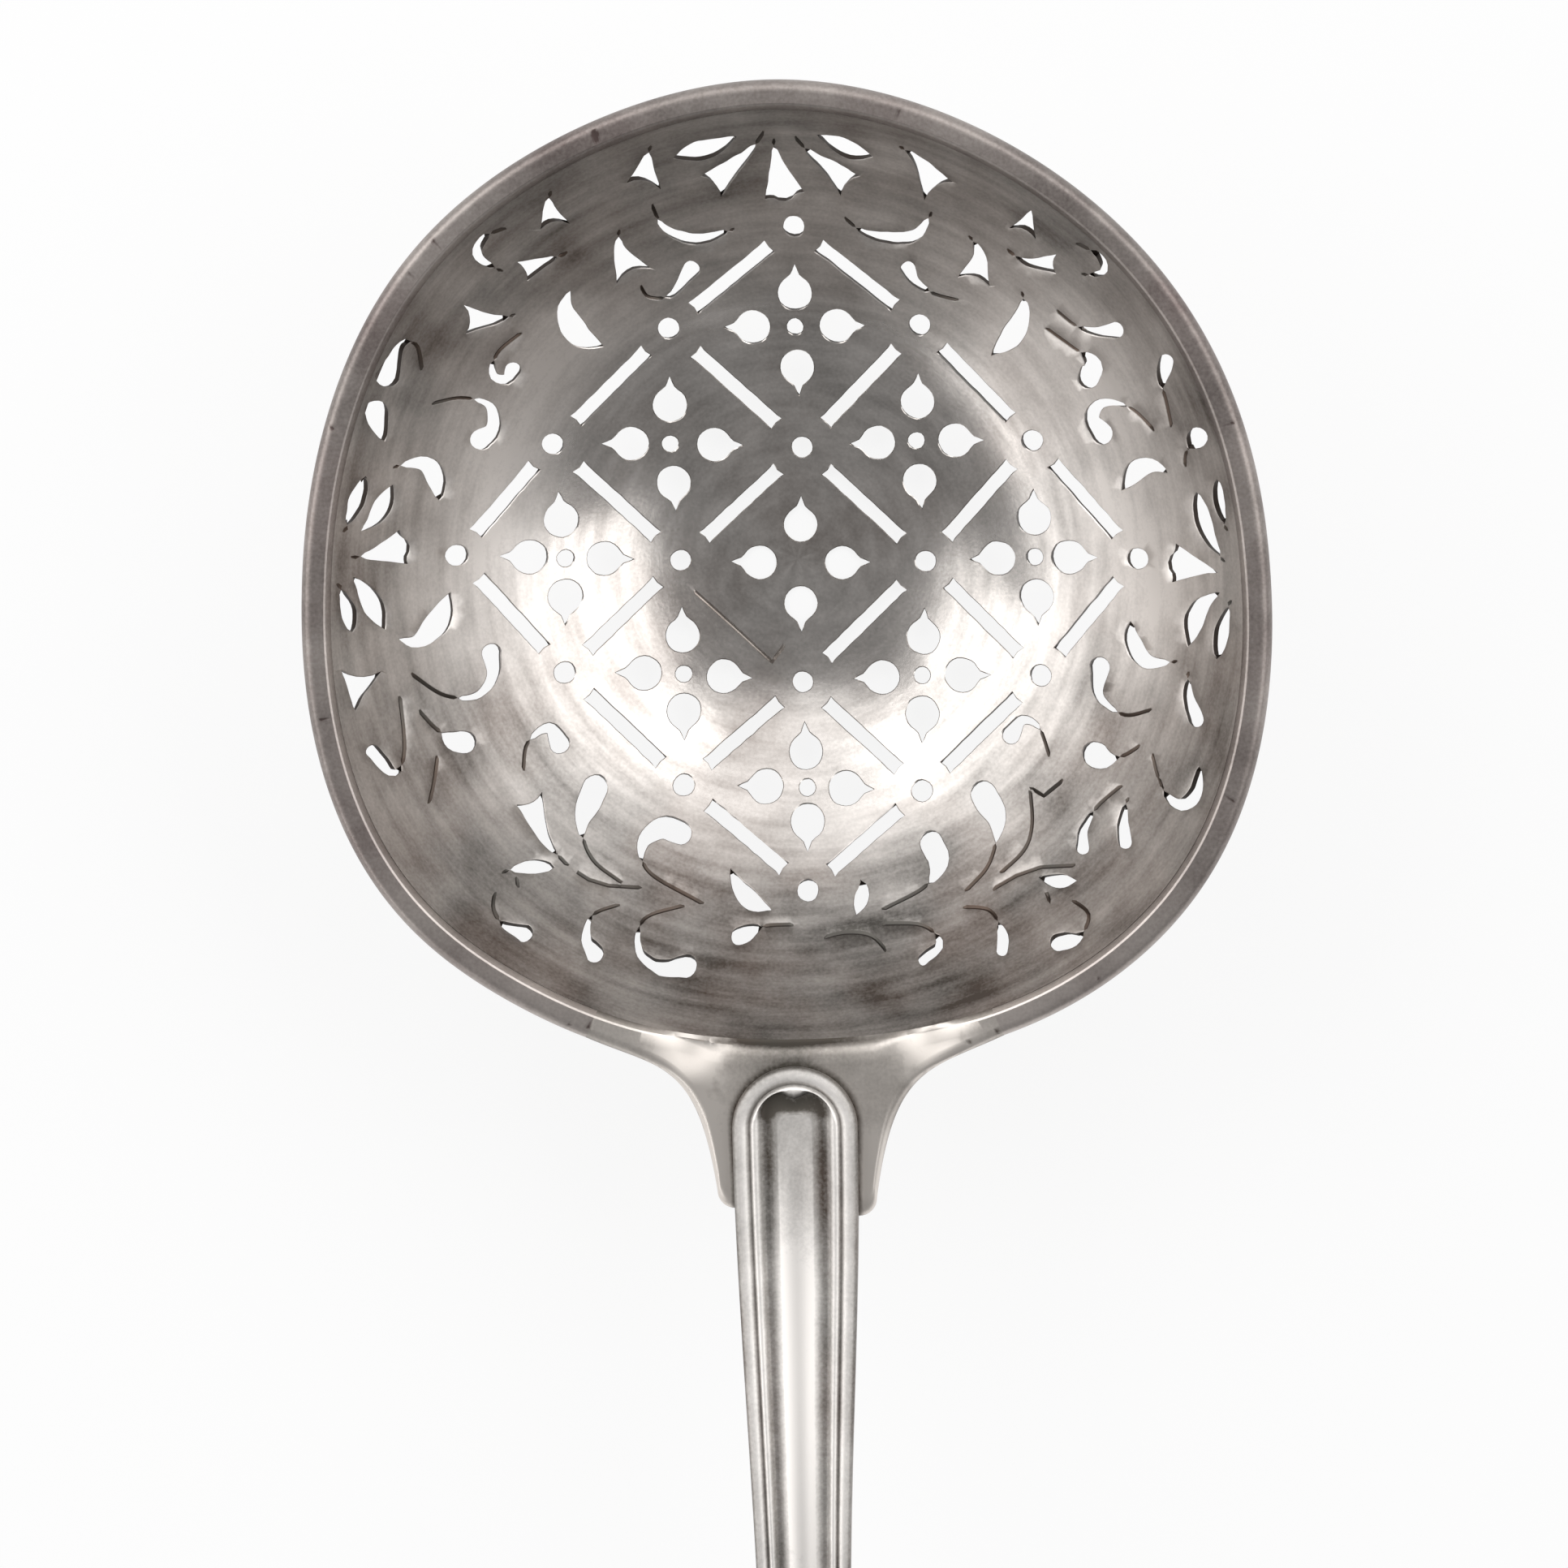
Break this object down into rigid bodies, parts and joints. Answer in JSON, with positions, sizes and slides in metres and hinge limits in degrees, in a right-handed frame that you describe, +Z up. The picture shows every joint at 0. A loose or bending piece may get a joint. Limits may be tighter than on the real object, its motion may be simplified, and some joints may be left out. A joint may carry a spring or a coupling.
{
  "type": "sugar sifter spoon",
  "caption": "Silver sifter spoon with a deep round bowl pierced in a lattice and scroll pattern, a soldered rim band, a winged neck and a thread-edged fiddle handle.",
  "frame": {"origin": "centre of the small flat under the bowl that the spoon stands on, on the bowl's axis at table height", "axes": "+Z up out of the bowl's mouth, +Y towards the bowl's tip, so the handle runs towards -Y, +X to the right seen from above with the handle at the bottom"},
  "size_m": [0.0702, 0.2078, 0.0252],
  "materials": {
    "bowl_silver": "worn, lightly tarnished silver with brush lines",
    "band_silver": "tarnished silver, slightly brown, with solder pits",
    "neck_silver": "satin silver",
    "handle_silver": "bright polished silver with dark lines in the struck threads"
  },
  "bodies": {
    "root": {"pierced_bowl": "bowl_silver", "rim_band": "band_silver", "neck": "neck_silver", "handle": "handle_silver"}
  },
  "joints": []
}
